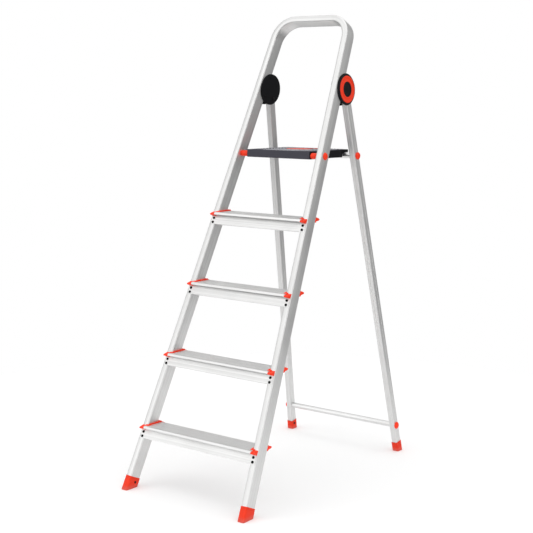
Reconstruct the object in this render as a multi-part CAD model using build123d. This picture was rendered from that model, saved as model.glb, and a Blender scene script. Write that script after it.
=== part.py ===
from build123d import *
import os
from math import cos, hypot, radians, sin

# Folding step ladder, standing open. Millimetres, +Z up, the front (climbing side) faces -Y.
# The origin is the middle of its footprint on the floor.
#
# Two local frames do most of the work:
#   FRAME  X across, Y up along the stiles from the floor, -Z into the stile from its front face
#   LEG    X across, Y up along the rear legs from the floor, -Z into the leg from its front face
# "up" is a length along a stile or leg and "deep" a depth behind its front face. A pair (y, z)
# such as PIVOT is a distance behind the stiles' ground line and a height.

# ---------------------------------------------------------------- driving dimensions
LEAN = 24.48               # lean of the stiles, degrees from vertical
LEG_LEAN = 11.60           # lean of the rear legs the other way
FRONT_Y = -468.32          # the stiles' ground line, where their front plane meets the floor
REAR_Y = FRONT_Y + 908.6   # the rear legs' ground line

FRAME_WIDTH = 502.1        # over both stiles, at the floor
FRAME_TAPER = 0.0584       # each stile comes in by this much per mm of its length
STILE_W, STILE_D = 21.8, 44.0
STILE_ROUND, STILE_WALL = 3.5, 1.5
STILE_START = 24.0         # the tube begins here, inside the boot
BOW_TOP = 1687.3           # outside of the handrail bow, along the stiles
BOW_ROUND = 72.0           # bend radius on the tube's centre line

LEG_WIDTH = 489.0          # over both rear legs, at the floor
LEG_TAPER = 0.0598
LEG_W, LEG_D = 21.2, 27.6
LEG_ROUND, LEG_WALL = 3.2, 1.5
GROOVE_W, GROOVE_D = 4.6, 0.6
LEG_START = 6.5

TREADS, TREAD_FIRST, TREAD_PITCH = 4, 204.95, 248.35
TREAD_DEPTH = 76.5
TREAD_RISE = 12.9          # tread surface above the line its skirt is set out from
TREAD_SKIN = 2.0
NOSE_PROUD, NOSE_WALL = 14.4, 2.2       # nose in front of the stiles, square to them
NOSE_LAP = 2.9             # nose past the stiles' inner faces
NOSE_ROUND, REAR_ROUND = 2.4, 1.2
SKIRT_LONG, SKIRT_THICK = 28.9, 1.4
SKIRT_EDGE = 3.0           # skirt's ends inside the stiles' outer faces
SKIRT_FOOT, FOOT_THICK = 7.0, 1.6
REAR_LIP, LIP_THICK = 15.0, 2.0
CURL_DEPTH, CURL_THICK = 8.0, 1.8
WEB_AT, WEB_THICK, WEB_DROP = 40.0, 1.8, 11.0
RIBS, RIB_FIRST, RIB_GAP, RIB_GROOVE, RIB_DEEP = 12, 13.0, 5.0, 1.1, 0.5
CAP_WALL, CAP_RAISE = 3.0, 4.0          # end cap: beside the tread, and above its surface
CAP_LIP = 1.2              # the cap's lap over the tread's end
CAP_LOW, CAP_REACH = 1.0, 15.2          # its block in front of the stile: below the nose, forward
CAP_TIP, CAP_BACK = -4.0, 0.5           # the block's top at its tip and at the stile, from the surface
CAP_ROUND = 1.5
CAP_EDGE, CAP_REAR_EDGE = 2.5, 8.0      # block and rear rest inside the stile's outer face
REST_TOP, REST_SHOULDER = -0.5, -5.5    # the rear rest's heights, from the surface
REST_HEEL, REST_LOW = -10.0, -12.3
REST_FULL, REST_FOOT = 60.0, 55.0       # and its depths behind the stile's front
SCREW_INSET, SCREW_DROPS = 13.5, (8.2, 22.7)    # from the stile's edge, below the line
SCREW_R, SCREW_HEAD_R, SCREW_HEAD_H = 1.9, 4.6, 2.4
SCREW_GRIP = 9.0

AXLE_UP, AXLE_DEEP, AXLE_R = 1187.0, 21.5, 6.0
AXLE_PROUD = 3.5           # axle's ends past the stiles, inside its caps
COLLAR_R, COLLAR_END = 10.0, 175.0
KNOB_R, KNOB_H = 12.2, 6.5
KNOB_CROWN, HEAD_CROWN = 0.75, 0.45      # crowned share of a button's height

PLAT_HALF = 130.0
PLAT_TOP, PLAT_BOTTOM = 1085.8, 1060.4
PLAT_FRONT, SKIRT_END, PLAT_REAR = 498.5, 690.0, 730.0
PLAT_WALL, PLAT_PLATE, PLAT_LIP, PLAT_RIB = 3.0, 3.2, 9.9, 2.2
PLAT_CORNER, PLAT_REAR_CORNER, PLAT_EDGE = 5.0, 6.0, 1.4   # radii
RIB_LIFT, RIBS_LONG, RIBS_ACROSS, RIB_STEP = 5.0, 5, 3, 44.0
HUB_WALL = 3.5             # tube round the axle
INLAYS = ((-15.0, 643.0, 46.0, 38.0), (30.0, 703.0, 42.0, 11.0))   # x, y, half width, half length
INLAY_SUNK, INLAY_THICK = 1.2, 1.5

BAR_R, BAR_WALL = 9.5, 1.5
BAR_PROUD, BAR_SKIRT, BAR_STEM = 1.2, 2.4, 14.0   # bar past the legs; its caps' skirt and stem
UPPER_BAR, LOWER_BAR = (708.0, 1066.0), (902.0, 97.5)

DISC_UP, DISC_DEEP, DISC_R = 1440.0, 58.0, 52.5
HOUSING_RIM, HOUSING_FACE, HOUSING_WALL = 2.4, 6.6, 3.0
HOUSING_SLOPE = 50.0       # the rim's bevel, degrees
HOUSING_HOLLOW = 3.0       # depth of the hollow in its back
BOSS_R, BOLT_BLIND = 7.0, 4.2
COVER_THICK, COVER_ROUND = 3.5, 1.4
RING_IN, RING_OUT, RING_THICK = 25.2, 44.8, 2.2
RING_SUNK, BADGE_SUNK, BADGE_H = 1.4, 1.2, 2.0
RELIEF = 1.6               # discs stand clear of the leg, which isn't quite parallel to them
WALL_FROM, WALL_TO = -12.0, 108.0        # the housing's rear wall, degrees round from straight up
DISC_SCREWS = ((34.0, 22.0), (-33.5, 17.0))   # up from the disc's centre, forward of it
DISC_SCREW_R, DISC_HEAD_R, DISC_HEAD_H = 2.0, 3.2, 1.6
PIVOT, PIVOT_R = (664.5, 1254.0), 4.0
PIVOT_HEAD_R, PIVOT_HEAD_H = 5.6, 1.8
LEG_TOP = 43.5             # leg tube above the pivot
PLUG_DOWN, PLUG_SLACK = 22.0, 0.1        # the plug in it: below the pivot, and inside the tube
HEEL_UP, HEEL_TALL, HEEL_DEEP = 9.5, 16.0, 22.0   # the corner cut from the plug's rear

BOOT_WALL, BOOT_TOP, REAR_BOOT_TOP = 1.7, 49.0, 33.0
BOOT_SCREW, REAR_BOOT_SCREW = (33.0, 26.0), (20.6, 12.0)   # up, deep
BOOT_HEAD_R, BOOT_HEAD_H, BOOT_GRIP = 4.2, 1.8, 6.5

RUN = 0.05                 # radial running fit
GAP = 0.4                  # clearance between parts that move apart
TOUCH = 0.02               # keeps pieces that bear on each other just apart

LEAN_R, LEG_LEAN_R = radians(LEAN), radians(LEG_LEAN)
FOLD_R = LEAN_R + LEG_LEAN_R
FRAME = Plane(origin=(0, FRONT_Y, 0), x_dir=(1, 0, 0), z_dir=(0, -cos(LEAN_R), sin(LEAN_R)))
LEG = Plane(origin=(0, REAR_Y, 0), x_dir=(1, 0, 0), z_dir=(0, -cos(LEG_LEAN_R), -sin(LEG_LEAN_R)))
SIDES = (("left", -1), ("right", 1))
HALF_STILE = STILE_W / 2 * hypot(1, FRAME_TAPER)   # half a stile's width, measured along X
HALF_LEG = LEG_W / 2 * hypot(1, LEG_TAPER)
parts = {}


# ---------------------------------------------------------------- places
def stile_mid(up):
    return FRAME_WIDTH / 2 - HALF_STILE - FRAME_TAPER * up


def stile_out(up):
    return stile_mid(up) + HALF_STILE


def stile_in(up):
    return stile_mid(up) - HALF_STILE


def leg_mid(up):
    return LEG_WIDTH / 2 - HALF_LEG - LEG_TAPER * up


def yz(up, deep):
    """World (y, z) of a point given up the stiles and behind their front face."""
    point = FRAME.from_local_coords(Vector(0, up, -deep))
    return point.Y, point.Z


def yz_at_height(deep, z):
    """World (y, z) at a height, on the plane that lies this deep behind the stiles' front."""
    return yz((z + deep * sin(LEAN_R)) / cos(LEAN_R), deep)


def local_to(frame, spot):
    """(up, deep) in a frame of a (y, z) pair given behind the stiles' ground line."""
    local = frame.to_local_coords(Vector(0, FRONT_Y + spot[0], spot[1]))
    return local.Y, -local.Z


PIVOT_FRAME_UP, PIVOT_FRAME_DEEP = local_to(FRAME, PIVOT)
PIVOT_UP, PIVOT_DEEP = local_to(LEG, PIVOT)
FOLDED_FRONT = PIVOT_FRAME_DEEP - PIVOT_DEEP     # the leg's front face when it lies along the stile
axle_point = FRAME.from_local_coords(Vector(0, AXLE_UP, -AXLE_DEEP))
AXLE = (axle_point.Y - FRONT_Y, axle_point.Z)


# ---------------------------------------------------------------- shapes
def rod(x0, x1, spot, r):
    """Round bar along X between two x, through a (y, z) pair."""
    bar = Rot(0, 90, 0) * Cylinder(r, abs(x1 - x0))
    return Pos((x0 + x1) / 2, FRONT_Y + spot[0], spot[1]) * bar


def slab(outline, x0, x1):
    """World (y, z) outline drawn out along X between two x."""
    face = make_face(Polyline(*[(0, y, z) for y, z in outline], close=True))
    return Pos(min(x0, x1), 0, 0) * extrude(face, amount=abs(x1 - x0), dir=(1, 0, 0))


def block(x, y, z):
    """Box from three (low, high) pairs, y counted behind the stiles' ground line."""
    size = [high - low for low, high in (x, y, z)]
    middle = [(low + high) / 2 for low, high in (x, y, z)]
    return Pos(middle[0], FRONT_Y + middle[1], middle[2]) * Box(*size)


def dome(r, height, share=HEAD_CROWN):
    """Round button standing on z = 0, this share of its height crowned."""
    crown = height * share
    ball = (r * r + crown * crown) / (2 * crown)
    return Pos(0, 0, height / 2) * Cylinder(r, height) & Pos(0, 0, height - ball) * Sphere(ball)


def splayed(place, side, mid, taper, depth, up):
    """Plane across a stile or leg at a height, square to its own line: X in depth, Y across."""
    normal = Vector(-side * taper, 1, 0)
    centre = Vector(side * mid(up), up, -depth / 2)
    return place * Plane(origin=centre, x_dir=(0, 0, 1), z_dir=normal).location


def stile_length(side, section, low, high):
    """A section drawn out along one stile."""
    plane = splayed(FRAME, side, stile_mid, FRAME_TAPER, STILE_D, low)
    return plane * extrude(section, amount=(high - low) * hypot(1, FRAME_TAPER))


def leg_length(side, section, low, high):
    plane = splayed(LEG, side, leg_mid, LEG_TAPER, LEG_D, low)
    return plane * extrude(section, amount=(high - low) * hypot(1, LEG_TAPER))


def largest(shape):
    return max(shape.solids(), key=lambda solid: solid.volume)


floor = Pos(0, 0, -100) * Box(3000, 3000, 200)
stile_room = {
    side: stile_length(side, Rectangle(STILE_D + 2 * TOUCH, STILE_W + 2 * TOUCH), -60, 1560)
    for _, side in SIDES
}
leg_room = {
    side: leg_length(side, Rectangle(LEG_D + 2 * TOUCH, LEG_W + 2 * TOUCH), -60, PIVOT_UP + LEG_TOP)
    for _, side in SIDES
}


# ---------------------------------------------------------------- front frame
def frame_sweep(inset):
    """The stiles and handrail bow in one, with the section shrunk by an inset all round."""
    top = BOW_TOP - STILE_W / 2
    corners = [
        (-stile_mid(STILE_START), STILE_START), (-stile_mid(top), top),
        (stile_mid(top), top), (stile_mid(STILE_START), STILE_START),
    ]
    path = FilletPolyline(
        *[FRAME.from_local_coords(Vector(x, up, -STILE_D / 2)) for x, up in corners],
        radius=BOW_ROUND,
    )
    section = RectangleRounded(STILE_D - 2 * inset, STILE_W - 2 * inset, STILE_ROUND - inset)
    start = Plane(origin=path @ 0, x_dir=FRAME.z_dir, z_dir=path % 0)
    return sweep(start * section, path=path)


frame_tube = frame_sweep(0) - frame_sweep(STILE_WALL)
frame_tube -= rod(-300, 300, AXLE, AXLE_R + TOUCH)


# ---------------------------------------------------------------- treads, end caps and screws
def tread_half(up):
    """Half a tread's length: cut square, and clear of the stiles at its rear edge."""
    return stile_in(up + TREAD_DEPTH * sin(LEAN_R) + TREAD_RISE) - CAP_WALL


def tread_lines(up):
    """World y of the nose and of the rear edge, and the height of the surface."""
    top = yz(up, 0)[1] + TREAD_RISE
    front = yz_at_height(-NOSE_PROUD, top)[0]
    return front, front + TREAD_DEPTH, top


def nose_half(up):
    """Half the nose's length: it laps over the stiles' fronts, as far as the end caps' blocks."""
    return stile_in(up) + NOSE_LAP


def tread(up):
    front, rear, top = tread_lines(up)
    foot = up - SKIRT_LONG
    low, under = top - REAR_LIP, top - TREAD_SKIN
    half, tab = tread_half(up), stile_out(up) - SKIRT_EDGE
    surface = [(front + NOSE_WALL, top), (rear, top), (rear, under), (front + NOSE_WALL, under)]
    nose = [
        (front, top), yz(up, -NOSE_PROUD), yz(up, NOSE_WALL - NOSE_PROUD),
        yz_at_height(NOSE_WALL - NOSE_PROUD, under), yz_at_height(-TOUCH, under),
        yz_at_height(-TOUCH, top),
    ]
    riser = [
        yz(up, -TOUCH), yz(up, -SKIRT_THICK),
        yz_at_height(-SKIRT_THICK, top - 1), yz_at_height(-TOUCH, top - 1),
    ]
    skirt = [
        yz(up + 1, -TOUCH), yz(up + 1, -SKIRT_THICK), yz(foot, -SKIRT_THICK), yz(foot, -TOUCH),
    ]
    skirt_foot = [
        yz(foot, -SKIRT_THICK), yz(foot, SKIRT_FOOT),
        yz(foot + FOOT_THICK, SKIRT_FOOT), yz(foot + FOOT_THICK, -SKIRT_THICK),
    ]
    rear_lip = [(rear - LIP_THICK, top), (rear, top), (rear, low), (rear - LIP_THICK, low)]
    curl = [
        (rear - CURL_DEPTH, low), (rear, low), (rear, low + CURL_THICK),
        (rear - CURL_DEPTH, low + CURL_THICK),
    ]
    web_front, web_low = front + WEB_AT, top - WEB_DROP
    web = [
        (web_front, top), (web_front + WEB_THICK, top), (web_front + WEB_THICK, web_low),
        (web_front, web_low),
    ]
    body = slab(skirt, -tab, tab)
    for outline in (nose, riser):
        body += slab(outline, -nose_half(up), nose_half(up))
    for outline in (surface, skirt_foot, rear_lip, curl, web):
        body += slab(outline, -half, half)
    for i in range(RIBS):
        groove = Box(4 * half, RIB_GROOVE, 2 * RIB_DEEP)
        body -= Pos(0, front + RIB_FIRST + i * RIB_GAP, top) * groove
    for y, radius in ((front, NOSE_ROUND), (rear, REAR_ROUND)):
        corner = Vector(0, y, top)
        along = body.edges().filter_by(Axis.X)
        body = fillet(along.sort_by(lambda edge: (edge.center() - corner).length)[0], radius)
    return body


def tread_room(up, side):
    """The space a tread takes at one end, with its skirt's tab over the stile."""
    front, rear, top = tread_lines(up)
    foot = up - SKIRT_LONG - 2
    main = [
        yz_at_height(-2, top + TOUCH), (rear + TOUCH, top + TOUCH),
        (rear + TOUCH, top - REAR_LIP - TOUCH), yz(foot, SKIRT_FOOT + 1), yz(foot, -2),
    ]
    ahead = [
        (front - TOUCH, top + TOUCH), yz(up, -NOSE_PROUD - TOUCH), yz(up - TOUCH, -NOSE_PROUD),
        yz(up - TOUCH, 0), yz_at_height(0, top + TOUCH),
    ]
    tab = [
        yz(up + 1 + TOUCH, TOUCH), yz(up + 1 + TOUCH, -SKIRT_THICK - TOUCH),
        yz(foot, -SKIRT_THICK - TOUCH), yz(foot, TOUCH),
    ]
    room = slab(main, 0, side * (tread_half(up) + TOUCH))
    room += slab(ahead, 0, side * (nose_half(up) + TOUCH))
    return room + slab(tab, 0, side * (stile_out(up) + 5))


def tread_cap(up, side):
    """Moulded end cap: a strip between tread and stile, a wedge beside the nose in front of the
    stile, and a rest behind the stile that the folded rear leg lies against."""
    front, rear, top = tread_lines(up)
    half, out = tread_half(up), stile_out(up)
    ridge, low = top + CAP_RAISE, top - REAR_LIP - 1
    against_leg = FOLDED_FRONT - GAP
    strip = [
        yz_at_height(0, ridge - 1), yz_at_height(3, ridge), (rear - 1.5, ridge), (rear + 1.5, ridge - 2.5),
        (rear + 1.5, low), yz_at_height(0, low),
    ]
    over = [
        yz_at_height(0, top + TOUCH), yz_at_height(1, ridge - 1), yz_at_height(4, ridge),
        (rear - 1.5, ridge), (rear, top + TOUCH),
    ]
    bridge = [
        yz_at_height(-6, top + TOUCH), yz_at_height(-3, top + CAP_RAISE / 2),
        yz_at_height(0, ridge - 1), yz_at_height(3, ridge), yz_at_height(3, top + TOUCH),
    ]
    wedge_outline = [
        yz(up - CAP_LOW, -TOUCH), yz(up - CAP_LOW, -CAP_REACH),
        yz_at_height(-CAP_REACH, top + CAP_TIP), yz_at_height(-TOUCH, top + CAP_BACK),
    ]
    rest = [
        yz_at_height(STILE_D - 4, top + REST_TOP), yz_at_height(REST_FULL, top + REST_TOP),
        yz_at_height(against_leg, top + REST_SHOULDER), yz_at_height(against_leg, top + REST_HEEL),
        yz_at_height(REST_FOOT, top + REST_LOW), yz_at_height(STILE_D - 4, top + REST_LOW),
    ]
    inner = nose_half(up) + 2 * TOUCH
    tip = slab(wedge_outline, side * inner, side * (out - CAP_EDGE))
    tip = fillet(tip.edges().filter_by(Axis.X).sort_by(Axis.Y)[:2], CAP_ROUND)
    cap = slab(strip, side * (half + TOUCH), side * stile_mid(up)) + tip
    cap += slab(over, side * (half - CAP_LIP), side * (half + 1))
    cap += slab(bridge, side * (half - CAP_LIP), side * (inner + 3))
    cap += slab(rest, side * (half + TOUCH), side * (out - CAP_REAR_EDGE))
    return largest(cap - tread_room(up, side) - stile_room[side])


def tread_screw_places(up):
    for _, side in SIDES:
        for drop in SCREW_DROPS:
            across = side * (stile_out(up - drop) - SCREW_INSET)
            yield FRAME * Pos(across, up - drop, SKIRT_THICK + TOUCH)


def screw(head_r, head_h, shank_r, length):
    """Pan head screw, its head standing on z = 0 and its shank below."""
    return dome(head_r, head_h) + Pos(0, 0, -length / 2) * Cylinder(shank_r, length)


tread_screws = []
for number in range(1, TREADS + 1):
    height = TREAD_FIRST + TREAD_PITCH * (number - 1)
    step = tread(height)
    for place in tread_screw_places(height):
        hole = place * Cylinder(SCREW_R + TOUCH, 20)
        step -= hole
        frame_tube -= hole
        tread_screws.append(place * screw(SCREW_HEAD_R, SCREW_HEAD_H, SCREW_R, SCREW_GRIP))
    parts[f"tread_{number}"] = step
    for name, side in SIDES:
        parts[f"tread_cap_{name}_{number}"] = tread_cap(height, side)
parts["tread_screws"] = Compound(children=tread_screws)


# ---------------------------------------------------------------- platform axle
def stile_face(side, up, deep, outward):
    """On a stile's outer or inner face: X up along the stile, Z away from the face."""
    normal = Vector(side, FRAME_TAPER, 0).normalized() * (1 if outward else -1)
    spot = Vector(side * stile_mid(up), up, -deep) + normal * (STILE_W / 2)
    return FRAME * Plane(origin=spot, x_dir=Vector(-side * FRAME_TAPER, 1, 0), z_dir=normal).location


axle_reach = stile_out(AXLE_UP) + AXLE_PROUD
parts["platform_axle"] = rod(-axle_reach, axle_reach, AXLE, AXLE_R)
for name, side in SIDES:
    collar = rod(side * (PLAT_HALF + GAP), side * COLLAR_END, AXLE, COLLAR_R) - stile_room[side]
    bore = rod(side * 100, side * 200, AXLE, AXLE_R + TOUCH)
    parts[f"axle_collar_{name}"] = min((collar - bore).solids(), key=lambda solid: abs(solid.center().X))
    button = Pos(0, 0, TOUCH) * dome(KNOB_R, KNOB_H, KNOB_CROWN)
    knob = stile_face(side, AXLE_UP, AXLE_DEEP, True) * button
    parts[f"axle_cap_{name}"] = knob - rod(0, side * (axle_reach + TOUCH), AXLE, AXLE_R + TOUCH)


# ---------------------------------------------------------------- rear legs and crossbars
def leg_tube(side):
    """Rectangular tube, rounded and with a shallow groove down each face."""
    bore = RectangleRounded(LEG_D - 2 * LEG_WALL, LEG_W - 2 * LEG_WALL, LEG_ROUND - LEG_WALL)
    section = RectangleRounded(LEG_D, LEG_W, LEG_ROUND) - bore
    for sign in (-1, 1):
        section -= Pos(sign * LEG_D / 2, 0) * Rectangle(2 * GROOVE_D, GROOVE_W)
        section -= Pos(0, sign * LEG_W / 2) * Rectangle(GROOVE_W, 2 * GROOVE_D)
    return leg_length(side, section, LEG_START, PIVOT_UP + LEG_TOP)


def leg_plug(side):
    """Plastic plug in the leg's top that turns on the pivot bolt. Its nose meets the stile's rear
    face when the ladder is open, and stops the legs there."""
    slack = LEG_WALL + PLUG_SLACK
    inside = RectangleRounded(LEG_D - 2 * slack, LEG_W - 2 * slack, LEG_ROUND - LEG_WALL)
    top = PIVOT_UP + LEG_TOP
    core = leg_length(side, inside, PIVOT_UP - PLUG_DOWN, top + 1)
    stop = (PIVOT_FRAME_DEEP - PIVOT_DEEP * cos(FOLD_R) - STILE_D - GAP) / sin(FOLD_R)
    nose = leg_length(side, Rectangle(LEG_D, LEG_W), top + TOUCH, PIVOT_UP + stop)
    heel = LEG * (Pos(0, top + HEEL_UP, -LEG_D) * Box(600, HEEL_TALL, HEEL_DEEP))
    plug = core + (nose - heel)
    return plug - rod(side * 100, side * 200, PIVOT, PIVOT_R + RUN)


bar_reach = {}
for label, spot in (("upper", UPPER_BAR), ("lower", LOWER_BAR)):
    bar_reach[label] = leg_mid(local_to(LEG, spot)[0]) + HALF_LEG + BAR_PROUD
    reach = bar_reach[label]
    bore = rod(-300, 300, spot, BAR_R - BAR_WALL)
    parts[f"{label}_crossbar"] = rod(-reach, reach, spot, BAR_R) - bore
    for name, side in SIDES:
        end = Pos(side * (reach + TOUCH), FRONT_Y + spot[0], spot[1]) * Rot(0, side * 90, 0)
        crown = end * dome(KNOB_R, KNOB_H, KNOB_CROWN)
        skirt = rod(side * (reach - BAR_SKIRT), side * (reach + 0.5), spot, KNOB_R)
        skirt -= rod(0, side * (reach + TOUCH), spot, BAR_R + TOUCH)
        stem = rod(side * (reach - BAR_STEM), side * (reach + 1), spot, BAR_R - BAR_WALL - TOUCH)
        parts[f"{label}_bar_cap_{name}"] = largest(crown + (skirt - leg_room[side]) + stem)

for name, side in SIDES:
    tube = leg_tube(side)
    for spot in (UPPER_BAR, LOWER_BAR):
        tube -= rod(side * 100, side * 300, spot, BAR_R + TOUCH)
    tube -= rod(side * 100, side * 200, PIVOT, PIVOT_R + RUN)
    parts[f"rear_leg_{name}"] = tube
    parts[f"leg_plug_{name}"] = leg_plug(side)


# ---------------------------------------------------------------- hinge discs
def wedge(side, low, high, reach):
    """Sector of the disc's plane between two angles, from straight up the stile round to its rear."""
    spokes = [low + (high - low) * i / 4 for i in range(5)]
    rim = [(reach * cos(radians(t)), -side * reach * sin(radians(t))) for t in spokes]
    return make_face(Polyline((0, 0), *rim, close=True))


def behind_stile(side, low, high):
    """The space behind the stile over the disc, between two distances past its outer face."""
    place = stile_face(side, DISC_UP, DISC_DEEP, True)
    deep = STILE_D + 0.4 - DISC_DEEP
    return place * (Pos(0, -side * (deep + 60), (low + high) / 2) * Box(200, 120, high - low))


for name, side in SIDES:
    outer = stile_face(side, DISC_UP, DISC_DEEP, True)
    inner = stile_face(side, DISC_UP, DISC_DEEP, False)
    screws_at = [(up, side * forward) for up, forward in DISC_SCREWS]
    pivot_at = (PIVOT_FRAME_UP - DISC_UP, -side * (PIVOT_FRAME_DEEP - DISC_DEEP))

    drum = Pos(0, 0, HOUSING_RIM / 2) * Cylinder(DISC_R, HOUSING_RIM)
    bevel = extrude(Circle(DISC_R), amount=HOUSING_FACE - HOUSING_RIM, taper=HOUSING_SLOPE)
    drum += Pos(0, 0, HOUSING_RIM) * bevel
    hollow = Cylinder(DISC_R - HOUSING_WALL, 2 * HOUSING_HOLLOW)
    for at in screws_at + [pivot_at]:
        hollow -= Pos(*at, 0) * Cylinder(BOSS_R, 3 * HOUSING_HOLLOW)
    seat = Cylinder(RING_OUT + 0.1, 2 * RING_SUNK) - Cylinder(RING_IN - 0.1, 2 * RING_SUNK)
    seat = Pos(0, 0, HOUSING_FACE) * seat
    badge_seat = Pos(0, 0, HOUSING_FACE) * Cylinder(RING_IN - 2.4, 2 * BADGE_SUNK)
    arc = (Circle(DISC_R) - Circle(DISC_R - HOUSING_WALL)) & wedge(side, WALL_FROM, WALL_TO, 2 * DISC_R)
    wall_depth = STILE_W + 2 * RELIEF - TOUCH
    housing = drum - hollow - seat - badge_seat
    for at in screws_at:
        housing -= Pos(*at, 0) * Cylinder(DISC_SCREW_R + TOUCH, 2 * BOLT_BLIND)
    housing = outer * housing - behind_stile(side, -4, RELIEF)
    housing += outer * (Pos(0, 0, RELIEF + 1) * extrude(arc, amount=-wall_depth - 1))
    housing -= rod(side * 100, side * (stile_out(PIVOT_FRAME_UP) + BOLT_BLIND), PIVOT, PIVOT_R + TOUCH)
    parts[f"hinge_housing_{name}"] = largest(housing - stile_room[side])

    ring = Cylinder(RING_OUT, RING_THICK) - Cylinder(RING_IN, RING_THICK)
    ring = fillet(ring.edges().group_by(Axis.Z)[-1], 0.7)
    ring_middle = HOUSING_FACE - RING_SUNK + TOUCH + RING_THICK / 2
    parts[f"hinge_ring_{name}"] = outer * (Pos(0, 0, ring_middle) * ring)
    badge = Pos(0, 0, HOUSING_FACE - BADGE_SUNK + TOUCH) * dome(RING_IN - 2.6, BADGE_H)
    parts[f"hinge_badge_{name}"] = outer * badge

    cover = Pos(0, 0, COVER_THICK / 2) * Cylinder(DISC_R, COVER_THICK)
    cover = fillet(cover.edges().group_by(Axis.Z)[-1], COVER_ROUND)
    cover_screws = []
    for at in screws_at:
        across = (at[0], -at[1])
        cover -= Pos(*across, 0) * Cylinder(DISC_SCREW_R + TOUCH, 20)
        grip = COVER_THICK + STILE_W + BOLT_BLIND - 0.6
        long_screw = screw(DISC_HEAD_R, DISC_HEAD_H, DISC_SCREW_R, grip)
        cover_screws.append(inner * (Pos(*across, COVER_THICK + TOUCH) * long_screw))
        frame_tube -= inner * (Pos(*across, 0) * Cylinder(DISC_SCREW_R + TOUCH, 60))
    cover = inner * cover - behind_stile(side, -STILE_W - RELIEF, 0)
    cover -= rod(side * 100, side * 200, PIVOT, PIVOT_R + TOUCH)
    parts[f"hinge_cover_{name}"] = largest(cover - stile_room[side])
    parts[f"hinge_screws_{name}"] = Compound(children=cover_screws)

    head_x = stile_in(PIVOT_FRAME_UP) - COVER_THICK - 0.5
    head_at = Pos(side * head_x, FRONT_Y + PIVOT[0], PIVOT[1]) * Rot(0, -side * 90, 0)
    head = head_at * dome(PIVOT_HEAD_R, PIVOT_HEAD_H)
    shaft_end = stile_out(PIVOT_FRAME_UP) + BOLT_BLIND - 0.2
    shaft = rod(side * head_x, side * shaft_end, PIVOT, PIVOT_R)
    parts[f"pivot_bolt_{name}"] = head + shaft


# ---------------------------------------------------------------- boots
def boot(side, frame_like):
    """Moulded boot on the end of a stile or leg, cut flat on the floor."""
    if frame_like:
        length, wide, deep, corner = stile_length, STILE_W, STILE_D, STILE_ROUND
        start, top = STILE_START, BOOT_TOP
    else:
        length, wide, deep, corner = leg_length, LEG_W, LEG_D, LEG_ROUND
        start, top = LEG_START, REAR_BOOT_TOP
    shell = RectangleRounded(deep + 2 * BOOT_WALL, wide + 2 * BOOT_WALL, corner + 1)
    shell = length(side, shell, -40, top)
    socket = RectangleRounded(deep + 2 * TOUCH, wide + 2 * TOUCH, corner)
    socket = length(side, socket, start - TOUCH, top + 5)
    return largest(shell - socket - floor)


def boot_screw_place(side, frame_like):
    if frame_like:
        up, deep = BOOT_SCREW
        place, x, taper = FRAME, stile_in(up), FRAME_TAPER
    else:
        up, deep = REAR_BOOT_SCREW
        place, x, taper = LEG, leg_mid(up) - HALF_LEG, LEG_TAPER
    spot = Vector(side * x, up, -deep)
    normal = Vector(-side, -taper, 0)
    return place * Plane(origin=spot, x_dir=Vector(-side * taper, 1, 0), z_dir=normal).location


for label, frame_like in (("front", True), ("rear", False)):
    pair = []
    for name, side in SIDES:
        place = boot_screw_place(side, frame_like)
        hole = place * Cylinder(SCREW_R + TOUCH, 14)
        parts[f"foot_{label}_{name}"] = boot(side, frame_like) - hole
        if frame_like:
            frame_tube -= hole
        else:
            parts[f"rear_leg_{name}"] -= hole
        boot_screw = screw(BOOT_HEAD_R, BOOT_HEAD_H, SCREW_R, BOOT_GRIP)
        pair.append(place * (Pos(0, 0, BOOT_WALL + TOUCH) * boot_screw))
    parts[f"foot_screws_{label}"] = Compound(children=pair)
parts["front_frame"] = frame_tube


# ---------------------------------------------------------------- platform
def platform():
    """Moulded tray: plate, skirts on three sides, rear lip over the crossbar, ribs and axle tube."""
    across = (-PLAT_HALF, PLAT_HALF)
    tall = (PLAT_BOTTOM, PLAT_TOP)
    solid = block(across, (PLAT_FRONT, SKIRT_END), tall)
    solid = fillet(solid.edges().filter_by(Axis.Z).sort_by(Axis.Y)[:2], PLAT_CORNER)
    lip = block(across, (SKIRT_END - 1, PLAT_REAR), (PLAT_TOP - PLAT_LIP, PLAT_TOP))
    lip = fillet(lip.edges().filter_by(Axis.Z).sort_by(Axis.Y)[-2:], PLAT_REAR_CORNER)
    solid += lip
    solid = fillet(solid.faces().sort_by(Axis.Z)[-1].outer_wire().edges(), PLAT_EDGE)
    under = (PLAT_BOTTOM - 1, PLAT_TOP - PLAT_PLATE)
    inside = (-PLAT_HALF + PLAT_WALL, PLAT_HALF - PLAT_WALL)
    solid -= block(inside, (PLAT_FRONT + PLAT_WALL, SKIRT_END - PLAT_WALL), under)
    rib_tall = (PLAT_BOTTOM + RIB_LIFT, PLAT_TOP - 1)
    for i in range(1, RIBS_LONG + 1):
        x = -PLAT_HALF + i * 2 * PLAT_HALF / (RIBS_LONG + 1)
        rib = (x - PLAT_RIB / 2, x + PLAT_RIB / 2)
        solid += block(rib, (PLAT_FRONT + 1, SKIRT_END - 1), rib_tall)
    for i in range(1, RIBS_ACROSS + 1):
        y = AXLE[0] + i * RIB_STEP
        solid += block(inside, (y - PLAT_RIB / 2, y + PLAT_RIB / 2), rib_tall)
    solid += rod(-PLAT_HALF + 1, PLAT_HALF - 1, AXLE, AXLE_R + HUB_WALL)
    solid -= rod(-PLAT_HALF - 5, PLAT_HALF + 5, AXLE, AXLE_R + RUN)
    for x, y, half_x, half_y in INLAYS:
        pocket = Pos(x, FRONT_Y + y, PLAT_TOP - INLAY_SUNK) * extrude(Ellipse(half_x, half_y), amount=5)
        solid -= pocket
    return solid


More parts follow.
